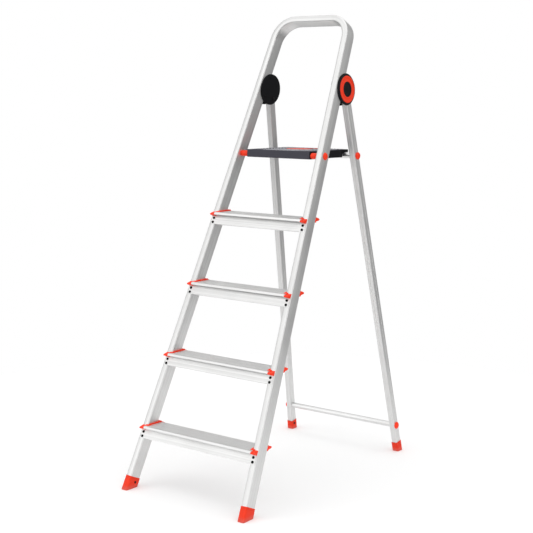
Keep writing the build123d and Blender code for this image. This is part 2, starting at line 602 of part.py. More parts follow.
parts["platform_tray"] = platform()
for label, (x, y, half_x, half_y) in zip(("front", "rear"), INLAYS):
    pad = extrude(Ellipse(half_x - 0.1, half_y - 0.1), amount=INLAY_THICK)
    parts[f"platform_inlay_{label}"] = Pos(x, FRONT_Y + y, PLAT_TOP - INLAY_SUNK + TOUCH) * pad

os.makedirs("parts", exist_ok=True)
for name, part in parts.items():
    export_step(part, f"parts/{name}.step")
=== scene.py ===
"""Folding step ladder: finishes, fastenings, grips and bent tube, built round its fixed CAD frame.

Everything is in metres, in the frame's own axes: +Z up, the climbing side faces -Y.
"""

import math

import bmesh
import bpy
from bpy.props import FloatProperty, FloatVectorProperty, IntProperty, PointerProperty
from mathutils import Matrix, Vector


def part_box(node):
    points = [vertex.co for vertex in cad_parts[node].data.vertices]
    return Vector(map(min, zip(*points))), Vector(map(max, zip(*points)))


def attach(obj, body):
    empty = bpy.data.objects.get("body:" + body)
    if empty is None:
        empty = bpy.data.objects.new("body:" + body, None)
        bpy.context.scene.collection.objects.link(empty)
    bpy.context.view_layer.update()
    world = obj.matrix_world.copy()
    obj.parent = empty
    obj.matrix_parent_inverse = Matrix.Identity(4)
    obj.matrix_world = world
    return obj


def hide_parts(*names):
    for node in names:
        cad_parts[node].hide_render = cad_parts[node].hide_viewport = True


bl_info = {
    "name": "Folding step ladder",
    "version": (1, 0, 0),
    "blender": (4, 5, 0),
    "location": "3D View > Sidebar > Step ladder",
    "description": "Builds the looks of a folding step ladder round its frame",
    "category": "Add Mesh",
}

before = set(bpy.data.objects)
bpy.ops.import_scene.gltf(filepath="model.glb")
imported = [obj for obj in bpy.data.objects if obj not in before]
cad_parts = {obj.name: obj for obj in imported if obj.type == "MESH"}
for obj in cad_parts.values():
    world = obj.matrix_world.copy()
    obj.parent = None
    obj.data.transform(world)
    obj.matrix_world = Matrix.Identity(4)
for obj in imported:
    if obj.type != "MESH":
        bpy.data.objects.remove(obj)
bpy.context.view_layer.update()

MM = 0.001
SIDES = (("left", -1), ("right", 1))
TREADS = range(1, 5)
X_AXIS = Vector((1, 0, 0))
Z_AXIS = Vector((0, 0, 1))
SAME_POINT = 2e-6
RING_STEPS, DISC_STEPS, BUTTON_STEPS, FLOOR_STEPS = 96, 96, 40, 128


# ---------------------------------------------------------------- sizes and colours
def length(name, description, default):
    return FloatProperty(
        name=name, description=description, default=default, unit="LENGTH", precision=4
    )


def colour(name, description, default):
    return FloatVectorProperty(
        name=name, description=description, default=default, subtype="COLOR", min=0, max=1
    )


def share(name, description, default):
    return FloatProperty(
        name=name, description=description, default=default, min=0, max=1, subtype="FACTOR"
    )


def angle(name, description, degrees):
    return FloatProperty(
        name=name, description=description, default=math.radians(degrees), subtype="ANGLE"
    )


def number(name, description, default):
    return FloatProperty(name=name, description=description, default=default, min=0)


def count(name, description, default, least=0):
    return IntProperty(name=name, description=description, default=default, min=least)


class TubeSizes(bpy.types.PropertyGroup):
    """The bent tube that makes both stiles and the handrail bow, and the splayed rear legs."""

    lean: angle("Lean", "Lean of the stiles from vertical", 24.48)
    splay: number("Splay", "How far a stile comes in per metre of its length", 0.0584)
    ground: length("Ground line", "Y where the stiles' front plane meets the floor", -0.46832)
    width: length("Width", "Over both stiles at the floor", 0.5021)
    across: length("Tube width", "The tube's narrow side, seen from the front", 0.0218)
    depth: length("Tube depth", "The tube's wide side", 0.044)
    corner: length("Tube corner", "Rounding of the tube's long edges", 0.0035)
    start: length("Tube start", "Where the tube begins inside the boot, up the stile", 0.024)
    top: length("Bow top", "Outside of the handrail bow, up the stile", 1.6873)
    bend: length("Bend radius", "On the tube's centre line", 0.072)
    bend_steps: count("Bend steps", "Points round each bend", 28, 4)
    flare: share("Bend flare", "How much deeper the tube is in the middle of a bend", 0.07)
    leg_lean: angle("Leg lean", "Lean of the rear legs", 11.60)
    leg_splay: number("Leg splay", "How far a leg comes in per metre", 0.0598)
    leg_ground: length("Leg ground line", "Y where the legs' front plane meets the floor", 0.44028)
    leg_width: length("Leg width", "Over both rear legs at the floor", 0.489)
    leg_across: length("Leg tube width", "The leg tube's side seen from the front", 0.0212)
    leg_depth: length("Leg tube depth", "The leg tube's side seen from the side", 0.0276)


class BootSizes(bpy.types.PropertyGroup):
    """Moulded boots on the ends of the stiles and legs."""

    wall: length("Wall", "Wall round the tube", 0.0017)
    top: length("Front top", "Height of a front boot up the stile", 0.049)
    rear_top: length("Rear top", "Height of a rear boot up the leg", 0.033)
    rib_pitch: length("Rib pitch", "From one moulded rib to the next", 0.0042)
    rib_depth: length("Rib depth", "Depth of the groove between two ribs", 0.0006)
    first_rib: length("First rib", "From the rim down to the first groove", 0.0045)
    corner: length("Corner", "Rounding of a boot's upright edges", 0.0045)
    ribs: count("Front ribs", "Grooves round a front boot", 2)
    rear_ribs: count("Rear ribs", "Grooves round a rear boot", 4)


class FasteningSizes(bpy.types.PropertyGroup):
    """Screws and domed red buttons."""

    head: length("Head radius", "Pan head of a tread screw", 0.0046)
    head_height: length("Head height", "Pan head above its seat", 0.0024)
    boot_head: length("Boot head radius", "Pan head of a boot's screw", 0.0042)
    boot_head_height: length("Boot head height", "Height of that head", 0.0018)
    cover_head: length("Cover head radius", "Pan head of a hinge screw", 0.0032)
    cover_head_height: length("Cover head height", "Height of that head", 0.0016)
    shank: length("Shank radius", "Threaded shank", 0.0018)
    button: length("Button radius", "Domed cap on the end of an axle or crossbar", 0.0122)
    button_height: length("Button height", "Dome above its seat", 0.0065)
    shank_long: length("Tread screw length", "Shank of a tread screw", 0.008)
    boot_shank_long: length("Boot screw length", "Shank of a boot's screw", 0.0055)
    cover_shank_long: length("Hinge screw length", "Shank of a hinge screw, through the stile", 0.028)
    spin_seed: count("Spin seed", "Chooses how far each screw was turned", 4)


class GripSizes(bpy.types.PropertyGroup):
    """Raised anti-slip dashes on the platform, in rings round its inlay."""

    dash_long: length("Dash length", "Along the ring", 0.010)
    dash_wide: length("Dash width", "Across the ring", 0.0032)
    dash_high: length("Dash height", "Above the platform", 0.0009)
    pitch: length("Pitch", "From one dash to the next along a ring", 0.0155)
    ring_gap: length("Ring gap", "From one ring to the next", 0.0105)
    rings: count("Rings", "Number of rings", 9, 1)
    margin: length("Margin", "Plain border of the platform", 0.009)
    inlay_margin: length("Inlay margin", "Plain border of the rear inlay", 0.009)


class Colours(bpy.types.PropertyGroup):
    """The ladder's finishes."""

    aluminium: colour("Aluminium", "Satin anodised extrusion", (0.78, 0.78, 0.775))
    aluminium_dark: colour("Aluminium, dark", "Between its drawing lines", (0.67, 0.67, 0.665))
    red: colour("Red", "Moulded caps, collars and rings", (1.0, 0.040, 0.004))
    red_rubber: colour("Red rubber", "Boots", (0.86, 0.036, 0.006))
    black: colour("Black", "Hinge discs", (0.005, 0.0055, 0.007))
    slate: colour("Slate", "Platform", (0.075, 0.074, 0.090))
    # Painted shade: a darker slate for the platform's two sides, towards +X and -X, standing in for the
    # shade they lie in.
    slate_painted_shade: colour("Dark slate", "The platform's two sides", (0.012, 0.012, 0.014))
    slate_light: colour("Light slate", "Anti-slip dashes", (0.50, 0.50, 0.53))
    screw: colour("Screw", "Blackened steel", (0.006, 0.006, 0.007))
    steel: colour("Steel", "Zinc plated axle", (0.62, 0.62, 0.63))


class StudioSettings(bpy.types.PropertyGroup):
    """Round pale floor, soft dome of light, and camera."""

    floor: colour("Floor", "Pale plain floor", (0.77, 0.77, 0.77))
    floor_glow: number("Floor glow", "Light from the floor itself", 0.27)
    floor_radius: length("Floor radius", "Round floor under the ladder", 1.8)
    dome: number("Dome", "Even light from all round", 0.34)
    key: number("Key", "Softbox in front, high and to the left", 1.55)
    side: number("Side", "Softbox to the right", 1.5)
    rim: number("Rim", "Softbox behind, to the left", 0.32)
    back: number("Back", "Softbox behind, to the right", 0.60)
    top: number("Top", "Softbox overhead", 1.7)
    eye: FloatVectorProperty(
        name="Camera", description="Camera position", default=(2.35164, -3.14685, 1.27757),
        subtype="XYZ", unit="LENGTH",
    )
    heading: angle("Heading", "Camera's turn from +Y", 37.011)
    pitch: angle("Pitch", "Camera's dip", 8.363)
    roll: angle("Roll", "Camera's roll", 0.318)
    lens: FloatProperty(
        name="Lens", description="Focal length in mm", default=80.23, min=1, unit="CAMERA"
    )


GROUPS = {
    "ladder_tube": TubeSizes, "ladder_boots": BootSizes, "ladder_fastenings": FasteningSizes,
    "ladder_grip": GripSizes, "ladder_colours": Colours, "ladder_studio": StudioSettings,
}


# ---------------------------------------------------------------- material building
def fill(tree, node, sockets):
    """Each socket of a node, by name or number, takes a value or another node's output. A colour of
    three parts is made opaque."""
    for name, value in sockets.items():
        socket = node.inputs[name]
        if isinstance(value, bpy.types.NodeSocket):
            tree.links.new(value, socket)
        elif socket.type == "RGBA" and len(value) == 3:
            socket.default_value = (*value, 1)
        else:
            socket.default_value = value


def add(tree, kind, sockets=None, **settings):
    """A new node, its sockets filled."""
    node = tree.nodes.new(kind)
    for name, value in settings.items():
        setattr(node, name, value)
    fill(tree, node, sockets or {})
    return node


def out_of(tree, kind, sockets=None, **settings):
    """The first output of a new node."""
    return add(tree, kind, sockets, **settings).outputs[0]


def maths(tree, operation, *values):
    return out_of(tree, "ShaderNodeMath", dict(enumerate(values)), operation=operation)


def times(tree, first, second):
    return maths(tree, "MULTIPLY", first, second)


def plus(tree, first, second):
    return maths(tree, "ADD", first, second)


def minus(tree, first, second):
    return maths(tree, "SUBTRACT", first, second)


def above(tree, value, level):
    return maths(tree, "GREATER_THAN", value, level)


def even_vector(tree, value):
    """A vector with the same value three times."""
    return out_of(tree, "ShaderNodeCombineXYZ", {0: value, 1: value, 2: value})


def vector_maths(tree, operation, *values):
    node = add(tree, "ShaderNodeVectorMath", dict(enumerate(values)), operation=operation)
    return node.outputs["Value" if operation == "DOT_PRODUCT" else "Vector"]


def between(tree, value, low, high, to_low=0.0, to_high=1.0):
    """value, from low to high, eased and mapped to another range."""
    sockets = {0: value, 1: low, 2: high, 3: to_low, 4: to_high}
    return out_of(tree, "ShaderNodeMapRange", sockets, interpolation_type="SMOOTHSTEP")


def noise(tree, vector, scale, detail=2.0, roughness=0.5):
    sockets = {"Vector": vector, "Scale": scale, "Detail": detail, "Roughness": roughness}
    return out_of(tree, "ShaderNodeTexNoise", sockets)


def mixed(tree, factor, first, second):
    """A colour between two others."""
    colours = {0: factor, 6: first, 7: second}
    return add(tree, "ShaderNodeMix", colours, data_type="RGBA").outputs[2]


def object_position(tree):
    return add(tree, "ShaderNodeTexCoord").outputs["Object"]


def new_material(name):
    material = bpy.data.materials.new(name)
    material.use_nodes = True
    return material, material.node_tree, material.node_tree.nodes["Principled BSDF"]


def edge_share(tree, radius):
    """(rounded normal, 0 on a flat face to 1 on an edge of about that radius), by the cosine between
    the rounded normal and the face's own."""
    rounded = out_of(tree, "ShaderNodeBevel", {"Radius": radius}, samples=6)
    face = add(tree, "ShaderNodeNewGeometry").outputs["Normal"]
    facing = vector_maths(tree, "DOT_PRODUCT", rounded, face)
    return rounded, between(tree, facing, 0.995, 0.80)


def bumped(tree, height, distance, normal):
    sockets = {"Height": height, "Distance": distance, "Strength": 1.0, "Normal": normal}
    return out_of(tree, "ShaderNodeBump", sockets)


# How often a drawing line comes in a metre, across the piece and along it.
FINE_LINES, BROAD_LINES = (2200.0, 9.0), (240.0, 0.8)
METAL_EDGE = 0.0012
DUST = (0.30, 0.27, 0.24)
DUST_HEIGHT = 0.018


def stretched(tree, place, along, across, down):
    """place, across times as dense square to the unit direction along as in it is down times."""
    travel = vector_maths(tree, "DOT_PRODUCT", place, along)
    shift = vector_maths(tree, "MULTIPLY", even_vector(tree, times(tree, travel, down - across)), along)
    return vector_maths(tree, "ADD", vector_maths(tree, "MULTIPLY", place, (across, across, across)), shift)


def drawn_metal(name, light, dark, along=None, shine=(0.40, 0.52)):
    """Drawn and anodised metal: lines along the piece, faint clouding, handling marks, brighter edges.

    along is the unit direction that the metal was drawn in; without it the piece's own
    "grain" attribute gives a place across and along the tube."""
    material, tree, surface = new_material(name)
    place = object_position(tree)

    def lines(across, down):
        if along is None:
            grain = add(tree, "ShaderNodeAttribute", attribute_name="grain").outputs["Vector"]
            return vector_maths(tree, "MULTIPLY", grain, (across, across, down))
        return stretched(tree, place, tuple(along), across, down)

    fine = noise(tree, lines(*FINE_LINES), 1.0, 2.0)
    broad = noise(tree, lines(*BROAD_LINES), 1.0, 3.0, 0.6)
    clouds = noise(tree, place, 9.0, 3.0)
    marks = between(tree, noise(tree, place, 70.0, 6.0, 0.7), 0.63, 0.72)
    rounded, edges = edge_share(tree, METAL_EDGE)
    tone = mixed(tree, between(tree, broad, 0.25, 0.75), dark, light)
    tone = mixed(tree, times(tree, marks, 0.10), tone, [0.8 * c for c in dark])
    tone = mixed(tree, times(tree, edges, 0.5), tone, [min(1, 1.12 * c) for c in light])
    uneven = plus(tree, times(tree, fine, 0.4), times(tree, clouds, 0.6))
    rough = plus(tree, between(tree, uneven, 0.3, 0.7, *shine), times(tree, marks, 0.08))
    relief = plus(tree, times(tree, fine, 0.5), times(tree, broad, 0.5))
    fill(tree, surface, {
        "Base Color": tone, "Metallic": 1.0, "Roughness": rough,
        "Normal": bumped(tree, relief, 0.00006, rounded),
    })
    return material


def moulded(
    name, tone, shine=(0.34, 0.46), grain=1500.0, depth=0.00004, wear=0.3, worn=None, edge=0.0009,
    dusty=0.0, gleam=0.3, side_tone=None,
):
    """Moulded plastic or rubber: fine eroded grain, slight mottling, rubbed edges, and dust low down.

    grain is how often its pits come in a metre and depth how deep they are. worn is the colour of its
    rubbed edges, and the last argument a painted shade: a darker colour given to the faces towards +X
    and -X, standing in for the shade they lie in."""
    material, tree, surface = new_material(name)
    place = object_position(tree)
    mottle = noise(tree, place, 22.0, 4.0, 0.6)
    skin = noise(tree, place, grain, 3.0, 0.7)
    rubs = between(tree, noise(tree, place, 140.0, 5.0, 0.7), 0.60, 0.74)
    rounded, edges = edge_share(tree, edge)
    base = mixed(tree, between(tree, mottle, 0.2, 0.8), [0.88 * c for c in tone], tone)
    # Painted shade: faces towards +X and -X are mixed towards a darker colour, standing in for the shade
    # they lie in.
    if side_tone:
        normal = add(tree, "ShaderNodeNewGeometry").outputs["Normal"]
        sideways = maths(tree, "ABSOLUTE", out_of(tree, "ShaderNodeSeparateXYZ", {0: normal}))
        base = mixed(tree, between(tree, sideways, 0.4, 0.8), base, side_tone)
    pale = worn or [min(1, 0.8 * c + 0.10) for c in tone]
    base = mixed(tree, times(tree, edges, wear), base, pale)
    base = mixed(tree, times(tree, rubs, 0.12), base, pale)
    if dusty:
        height = add(tree, "ShaderNodeSeparateXYZ", {0: place}).outputs[2]
        low = times(tree, between(tree, height, DUST_HEIGHT, 0.0), mottle)
        base = mixed(tree, times(tree, low, dusty), base, DUST)
    rough = plus(tree, between(tree, mottle, 0.25, 0.75, *shine), times(tree, skin, 0.06))
    fill(tree, surface, {
        "Base Color": base, "Roughness": rough, "Normal": bumped(tree, skin, depth, rounded),
        "Specular IOR Level": gleam,
    })
    return material


def blackened(name, tone):
    """Blackened steel, bright where a driver or a hand has rubbed it."""
    material, tree, surface = new_material(name)
    place = object_position(tree)
    patches = noise(tree, place, 420.0, 4.0, 0.6)
    rounded, edges = edge_share(tree, 0.0003)
    rub = times(tree, edges, between(tree, patches, 0.35, 0.7))
    fill(tree, surface, {
        "Base Color": mixed(tree, times(tree, rub, 0.2), tone, (0.25, 0.25, 0.26)),
        "Metallic": 0.3, "Specular IOR Level": 0.2,
        "Roughness": between(tree, patches, 0.3, 0.7, 0.32, 0.5),
        "Normal": bumped(tree, patches, 0.00003, rounded),
    })
    return material


FINISHES = {}


def leg_direction(side):
    """Unit vector up a rear leg."""
    sizes = bpy.context.scene.ladder_tube
    run = (-side * sizes.leg_splay, -math.sin(sizes.leg_lean), math.cos(sizes.leg_lean))
    return Vector(run).normalized()


def make_finishes():
    """Every material, made once."""
    tone = bpy.context.scene.ladder_colours
    light, dark = list(tone.aluminium), list(tone.aluminium_dark)
    steel = list(tone.steel)
    bright, deep = [1.06 * c for c in light], [1.04 * c for c in dark]

    def make(kind, label, *parts, **more):
        FINISHES[label] = kind(label, *parts, **more)

    make(drawn_metal, "stile_aluminium", light, dark)
    make(drawn_metal, "tread_aluminium", bright, deep, X_AXIS, (0.44, 0.56))
    make(drawn_metal, "bar_aluminium", light, dark, X_AXIS, (0.26, 0.36))
    make(drawn_metal, "axle_steel", steel, [0.8 * c for c in steel], X_AXIS, (0.2, 0.3))
    make(moulded, "red_plastic", list(tone.red))
    make(
        moulded, "red_rubber", list(tone.red_rubber), shine=(0.5, 0.62), grain=900.0, depth=0.00008,
        wear=0.25, dusty=0.5,
    )
    make(
        moulded, "black_plastic", list(tone.black), shine=(0.40, 0.55), grain=1800.0, depth=0.00005,
        wear=0.5, worn=(0.05, 0.05, 0.055), gleam=0.13,
    )
    # The slate's faces towards +X and -X take painted shade, a darker slate standing in for the shade on
    # the platform's sides.
    make(
        moulded, "slate_plastic", list(tone.slate), shine=(0.72, 0.86), grain=1300.0, depth=0.00006,
        wear=0.35, worn=(0.14, 0.14, 0.16), edge=0.0014, gleam=0.08, side_tone=list(tone.slate_painted_shade),
    )
    make(moulded, "dash_plastic", list(tone.slate_light), shine=(0.45, 0.6), grain=1300.0)
    make(blackened, "black_steel", list(tone.screw))
    for name, side in SIDES:
        make(drawn_metal, f"leg_aluminium_{name}", light, dark, leg_direction(side))


def paint(node, label):
    """Gives a CAD node its finish."""
    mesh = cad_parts[node].data
    mesh.materials.clear()
    mesh.materials.append(FINISHES[label])


# ---------------------------------------------------------------- mesh building
def new_piece(name, mesh):
    piece = bpy.data.objects.new(name, mesh)
    bpy.context.scene.collection.objects.link(piece)
    return piece


def place_piece(name, mesh, body, replaced=(), label=None):
    """Makes a mesh a piece that rides on a body, in place of some CAD nodes."""
    piece = new_piece(name, mesh)
    if label:
        mesh.materials.clear()
        mesh.materials.append(FINISHES[label])
    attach(piece, body)
    if replaced:
        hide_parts(*replaced)


def smooth(mesh, degrees=35.0):
    mesh.polygons.foreach_set("use_smooth", [True] * len(mesh.polygons))
    mesh.set_sharp_from_angle(angle=math.radians(degrees))


def bridged(rings, closed=True):
    """A mesh from rings of as many points each, its two ends closed by a fan to their middle."""
    book = bmesh.new()
    rows = [[book.verts.new(point) for point in ring] for ring in rings]
    for low, high in zip(rows, rows[1:]):
        for i, corner in enumerate(low):
            after = (i + 1) % len(low)
            book.faces.new((corner, low[after], high[after], high[i]))
    for row in (rows[0][::-1], rows[-1]) if closed else ():
        middle = book.verts.new(sum((v.co for v in row), Vector()) / len(row))
        for i, corner in enumerate(row):
            book.faces.new((corner, row[(i + 1) % len(row)], middle))
    bmesh.ops.recalc_face_normals(book, faces=book.faces)
    mesh = bpy.data.meshes.new("bridged")
    book.to_mesh(mesh)
    book.free()
    smooth(mesh)
    return mesh


def turned(profile, angles):
    """Rings of a turned shape about Z, from (radius, height) pairs. A radius may be a function of the
    angle."""
    rings = []
    for radius, height in profile:
        reach = radius if callable(radius) else (lambda _, fixed=radius: fixed)
        rings.append([Vector((reach(t) * math.cos(t), reach(t) * math.sin(t), height)) for t in angles])
    return rings


def even_angles(steps):
    return [math.tau * i / steps for i in range(steps)]


def rounded_outline(half_x, half_y, radius, steps):
    """Points round a rectangle with rounded corners."""
    points = []
    for quarter, (sign_x, sign_y) in enumerate(((1, 1), (-1, 1), (-1, -1), (1, -1))):
        for i in range(steps + 1):
            turn = (quarter + i / steps) * math.pi / 2
            points.append((
                sign_x * (half_x - radius) + radius * math.cos(turn),
                sign_y * (half_y - radius) + radius * math.sin(turn),
            ))
    return points


def facing(place, direction):
    """Matrix that puts a shape standing on Z at a place, its Z along a direction."""
    return Matrix.Translation(place) @ Vector(direction).to_track_quat("Z", "Y").to_matrix().to_4x4()


def solids_of(node):
    """The points of each separate solid in a CAD node, from a merged copy of its mesh."""
    book = bmesh.new()
    book.from_mesh(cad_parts[node].data)
    bmesh.ops.remove_doubles(book, verts=book.verts, dist=SAME_POINT)
    book.verts.ensure_lookup_table()
    seen, groups = set(), []
    for start in book.verts:
        if start.index in seen:
            continue
        seen.add(start.index)
        waiting, group = [start], []
        while waiting:
            vert = waiting.pop()
            group.append(vert.co.copy())
            for edge in vert.link_edges:
                other = edge.other_vert(vert)
                if other.index not in seen:
                    seen.add(other.index)
                    waiting.append(other)
        groups.append(group)
    book.free()
    return groups


def seat_of(points, out, height):
    """Where a head of that height stands: the middle of a solid seen along out, and so far below its
    outermost point."""
    turn = Vector(out).to_track_quat("Z", "Y").to_matrix()
    local = [turn.transposed() @ p for p in points]
    middle = [(min(p[i] for p in local) + max(p[i] for p in local)) / 2 for i in (0, 1)]
    top = max(p[2] for p in local)
    return turn @ Vector((*middle, top - height))


# ---------------------------------------------------------------- geometry node trees
def new_tree(name, inputs):
    """A geometry node tree with named inputs. Returns it with its input and output nodes."""
    tree = bpy.data.node_groups.new(name, "GeometryNodeTree")
    tree.interface.new_socket("Geometry", in_out="INPUT", socket_type="NodeSocketGeometry")
    for label, kind, default in inputs:
        socket = tree.interface.new_socket(label, in_out="INPUT", socket_type=f"NodeSocket{kind}")
        if default is not None:
            socket.default_value = default
    tree.interface.new_socket("Geometry", in_out="OUTPUT", socket_type="NodeSocketGeometry")
    return tree, tree.nodes.new("NodeGroupInput").outputs, tree.nodes.new("NodeGroupOutput")


def grown(tree, mesh, values):
    """The plain mesh that a tree makes of a mesh, with its inputs set by name."""
    seed = new_piece("seed", mesh)
    modifier = seed.modifiers.new("Grow", "NODES")
    modifier.node_group = tree
    for item in tree.interface.items_tree:
        if item.item_type == "SOCKET" and item.in_out == "INPUT" and item.name in values:
            modifier[item.identifier] = values[item.name]
    graph = bpy.context.evaluated_depsgraph_get()
    made = bpy.data.meshes.new_from_object(seed.evaluated_get(graph), depsgraph=graph)
    bpy.data.objects.remove(seed)
    return made


def capture(tree, geometry, kind, value):
    """(geometry, the value kept with its points)."""
    node = tree.nodes.new("GeometryNodeCaptureAttribute")
    node.capture_items.new(kind, "Kept")
    tree.links.new(geometry, node.inputs[0])
    tree.links.new(value, node.inputs[1])
    return node.outputs[0], node.outputs[1]


def close_tree(tree, geometry, material, end):
    """Ends a tree with plain geometry in one material."""
    geometry = out_of(tree, "GeometryNodeRealizeInstances", {0: geometry})
    geometry = out_of(tree, "GeometryNodeSetMaterial", {"Geometry": geometry, "Material": material})
    tree.links.new(geometry, end.inputs[0])
    return tree


def rounded_path(tree, curve, steps, radius):
    sockets = {"Curve": curve, "Count": steps, "Radius": radius}
    return out_of(tree, "GeometryNodeFilletCurve", sockets, mode="POLY")


def bent_tube_tree():
    """Sweeps a rounded rectangle along a path with rounded corners. It keeps a "grain" attribute,
    the place in the section and along the tube, and deepens the tube where it bends."""
    tree, given, end = new_tree("Bent tube", [
        ("Width", "Float", 0.02), ("Depth", "Float", 0.04),
        ("Corner", "Float", 0.003), ("Corner Steps", "Int", 4),
        ("Bend Radius", "Float", 0.07), ("Bend Steps", "Int", 24),
        ("Face", "Vector", (0.0, -1.0, 0.0)), ("Flare", "Float", 0.05),
        ("Material", "Material", None),
    ])
    line = out_of(tree, "GeometryNodeMeshToCurve", {0: given["Geometry"]})
    path = rounded_path(tree, line, given["Bend Steps"], given["Bend Radius"])
    upright = {"Curve": path, "Normal": given["Face"]}
    path = out_of(tree, "GeometryNodeSetCurveNormal", upright, mode="FREE")
    travel = tree.nodes.new("GeometryNodeSplineParameter").outputs["Length"]
    path, along = capture(tree, path, "FLOAT", travel)
    tangent = out_of(tree, "GeometryNodeInputTangent")
    sideways = out_of(tree, "ShaderNodeSeparateXYZ", {0: tangent})
    upward = maths(tree, "SQRT", minus(tree, 1.0, times(tree, sideways, sideways)))
    turned_by = times(tree, maths(tree, "ABSOLUTE", times(tree, sideways, upward)), 2.0)
    path, bending = capture(tree, path, "FLOAT", turned_by)
    sides = {0: given["Depth"], 1: given["Width"]}
    section = out_of(tree, "GeometryNodeCurvePrimitiveQuadrilateral", sides)
    section = rounded_path(tree, section, given["Corner Steps"], given["Corner"])
    place = out_of(tree, "GeometryNodeInputPosition")
    section, spot = capture(tree, section, "VECTOR", place)
    tube = out_of(tree, "GeometryNodeCurveToMesh", {
        "Curve": path, "Profile Curve": section, "Fill Caps": True,
    })
    in_section = add(tree, "ShaderNodeSeparateXYZ", {0: spot}).outputs
    grain = {0: in_section[0], 1: in_section[1], 2: along}
    grain = out_of(tree, "ShaderNodeCombineXYZ", grain)
    tube = out_of(tree, "GeometryNodeStoreNamedAttribute", {
        "Geometry": tube, "Name": "grain", "Value": grain,
    }, data_type="FLOAT_VECTOR", domain="POINT")
    push = times(tree, times(tree, in_section[0], given["Flare"]), bending)
    moved = vector_maths(tree, "MULTIPLY", even_vector(tree, push), given["Face"])
    tube = out_of(tree, "GeometryNodeSetPosition", {"Geometry": tube, "Offset": moved})
    return close_tree(tree, tube, given["Material"], end)


def fastening_tree():
    """Stands a copy of a pattern on each point, along its "facing" attribute, turned by a seeded
    amount."""
    tree, given, end = new_tree("Fastenings", [
        ("Pattern", "Object", None), ("Turn", "Float", math.tau),
        ("Seed", "Int", 0), ("Material", "Material", None),
    ])
    pattern = add(tree, "GeometryNodeObjectInfo", {"Object": given["Pattern"]}).outputs["Geometry"]
    way = add(tree, "GeometryNodeInputNamedAttribute", {"Name": "facing"}, data_type="FLOAT_VECTOR")
    stand = out_of(tree, "FunctionNodeAlignRotationToVector", {"Vector": way.outputs[0]}, axis="Z")
    chance = add(tree, "FunctionNodeRandomValue", {
        "Seed": given["Seed"], 3: given["Turn"],
    }, data_type="FLOAT").outputs[1]
    turn = out_of(tree, "FunctionNodeAxisAngleToRotation", {"Axis": (0, 0, 1), "Angle": chance})
    stand = out_of(tree, "FunctionNodeRotateRotation", {
        "Rotation": stand, "Rotate By": turn,
    }, rotation_space="LOCAL")
    copies = out_of(tree, "GeometryNodeInstanceOnPoints", {
        "Points": given["Geometry"], "Instance": pattern, "Rotation": stand,
    })
    return close_tree(tree, copies, given["Material"], end)


def dash_tree():
    """Rings of dashes round the input's single point, wherever they fit inside a rectangle and clear of
    two oval inlays."""
    tree, given, end = new_tree("Grip dashes", [
        ("Pattern", "Object", None), ("Rings", "Int", 5),
        ("Oval", "Vector", (0.05, 0.04, 1.0)), ("Ring Gap", "Float", 0.01),
        ("Pitch", "Float", 0.015), ("Centre", "Vector", (0.0, 0.0, 0.0)),
        ("Half Size", "Vector", (0.1, 0.1, 1.0)), ("Middle", "Vector", (0.0, 0.0, 0.0)),
        ("Second Oval", "Vector", (0.05, 0.04, 1.0)),
        ("Second Centre", "Vector", (0.0, 0.0, 0.0)), ("Material", "Material", None),
    ])
    row = out_of(tree, "GeometryNodeMeshLine", {"Count": given["Rings"], "Offset": (0, 0, 0)})
    place_in_row = plus(tree, out_of(tree, "GeometryNodeInputIndex"), 1.0)
    grow = times(tree, place_in_row, given["Ring Gap"])
    wider = out_of(tree, "ShaderNodeCombineXYZ", {0: grow, 1: grow})
    size = vector_maths(tree, "ADD", given["Oval"], wider)
    round_ring = {"Resolution": RING_STEPS, "Radius": 1.0}
    ring = out_of(tree, "GeometryNodeCurvePrimitiveCircle", round_ring)
    rings = out_of(tree, "GeometryNodeInstanceOnPoints", {
        "Points": row, "Instance": ring, "Scale": size,
    })
    rings = out_of(tree, "GeometryNodeRealizeInstances", {0: rings})
    rings = out_of(tree, "GeometryNodeSetPosition", {"Geometry": rings, "Offset": given["Centre"]})
    spaced = {"Curve": rings, "Length": given["Pitch"]}
    beads = out_of(tree, "GeometryNodeResampleCurve", spaced, mode="LENGTH")
    here = out_of(tree, "GeometryNodeInputPosition")
    from_middle = vector_maths(tree, "ABSOLUTE", vector_maths(tree, "SUBTRACT", here, given["Middle"]))
    room = vector_maths(tree, "SUBTRACT", given["Half Size"], from_middle)
    room = add(tree, "ShaderNodeSeparateXYZ", {0: room}).outputs
    inside = times(tree, above(tree, room[0], 0.0), above(tree, room[1], 0.0))
    from_second = vector_maths(tree, "SUBTRACT", here, given["Second Centre"])
    from_second = vector_maths(tree, "DIVIDE", from_second, given["Second Oval"])
    beyond = above(tree, vector_maths(tree, "DOT_PRODUCT", from_second, from_second), 1.0)
    keep = times(tree, inside, beyond)
    tangent = out_of(tree, "GeometryNodeInputTangent")
    lie = out_of(tree, "FunctionNodeAlignRotationToVector", {"Vector": tangent}, axis="X")
    pattern = add(tree, "GeometryNodeObjectInfo", {"Object": given["Pattern"]}).outputs["Geometry"]
    dashes = out_of(tree, "GeometryNodeInstanceOnPoints", {
        "Points": beads, "Selection": keep, "Instance": pattern, "Rotation": lie,
    })
    return close_tree(tree, dashes, given["Material"], end)


def seated_points(seats):
    """A mesh of points with a "facing" attribute, from (place, direction) pairs."""
    mesh = bpy.data.meshes.new("seats")
    mesh.from_pydata([tuple(place) for place, _ in seats], [], [])
    facing_at = mesh.attributes.new("facing", "FLOAT_VECTOR", "POINT")
    facing_at.data.foreach_set("vector", [c for _, out in seats for c in out])
    return mesh


# ---------------------------------------------------------------- places on the frame
def stile_frame():
    """Matrix of the stiles' front plane: X across, Y up along the stiles, Z out of the front face."""
    sizes = bpy.context.scene.ladder_tube
    turn = Matrix.Rotation(math.pi / 2 - sizes.lean, 4, "X")
    return Matrix.Translation((0, sizes.ground, 0)) @ turn


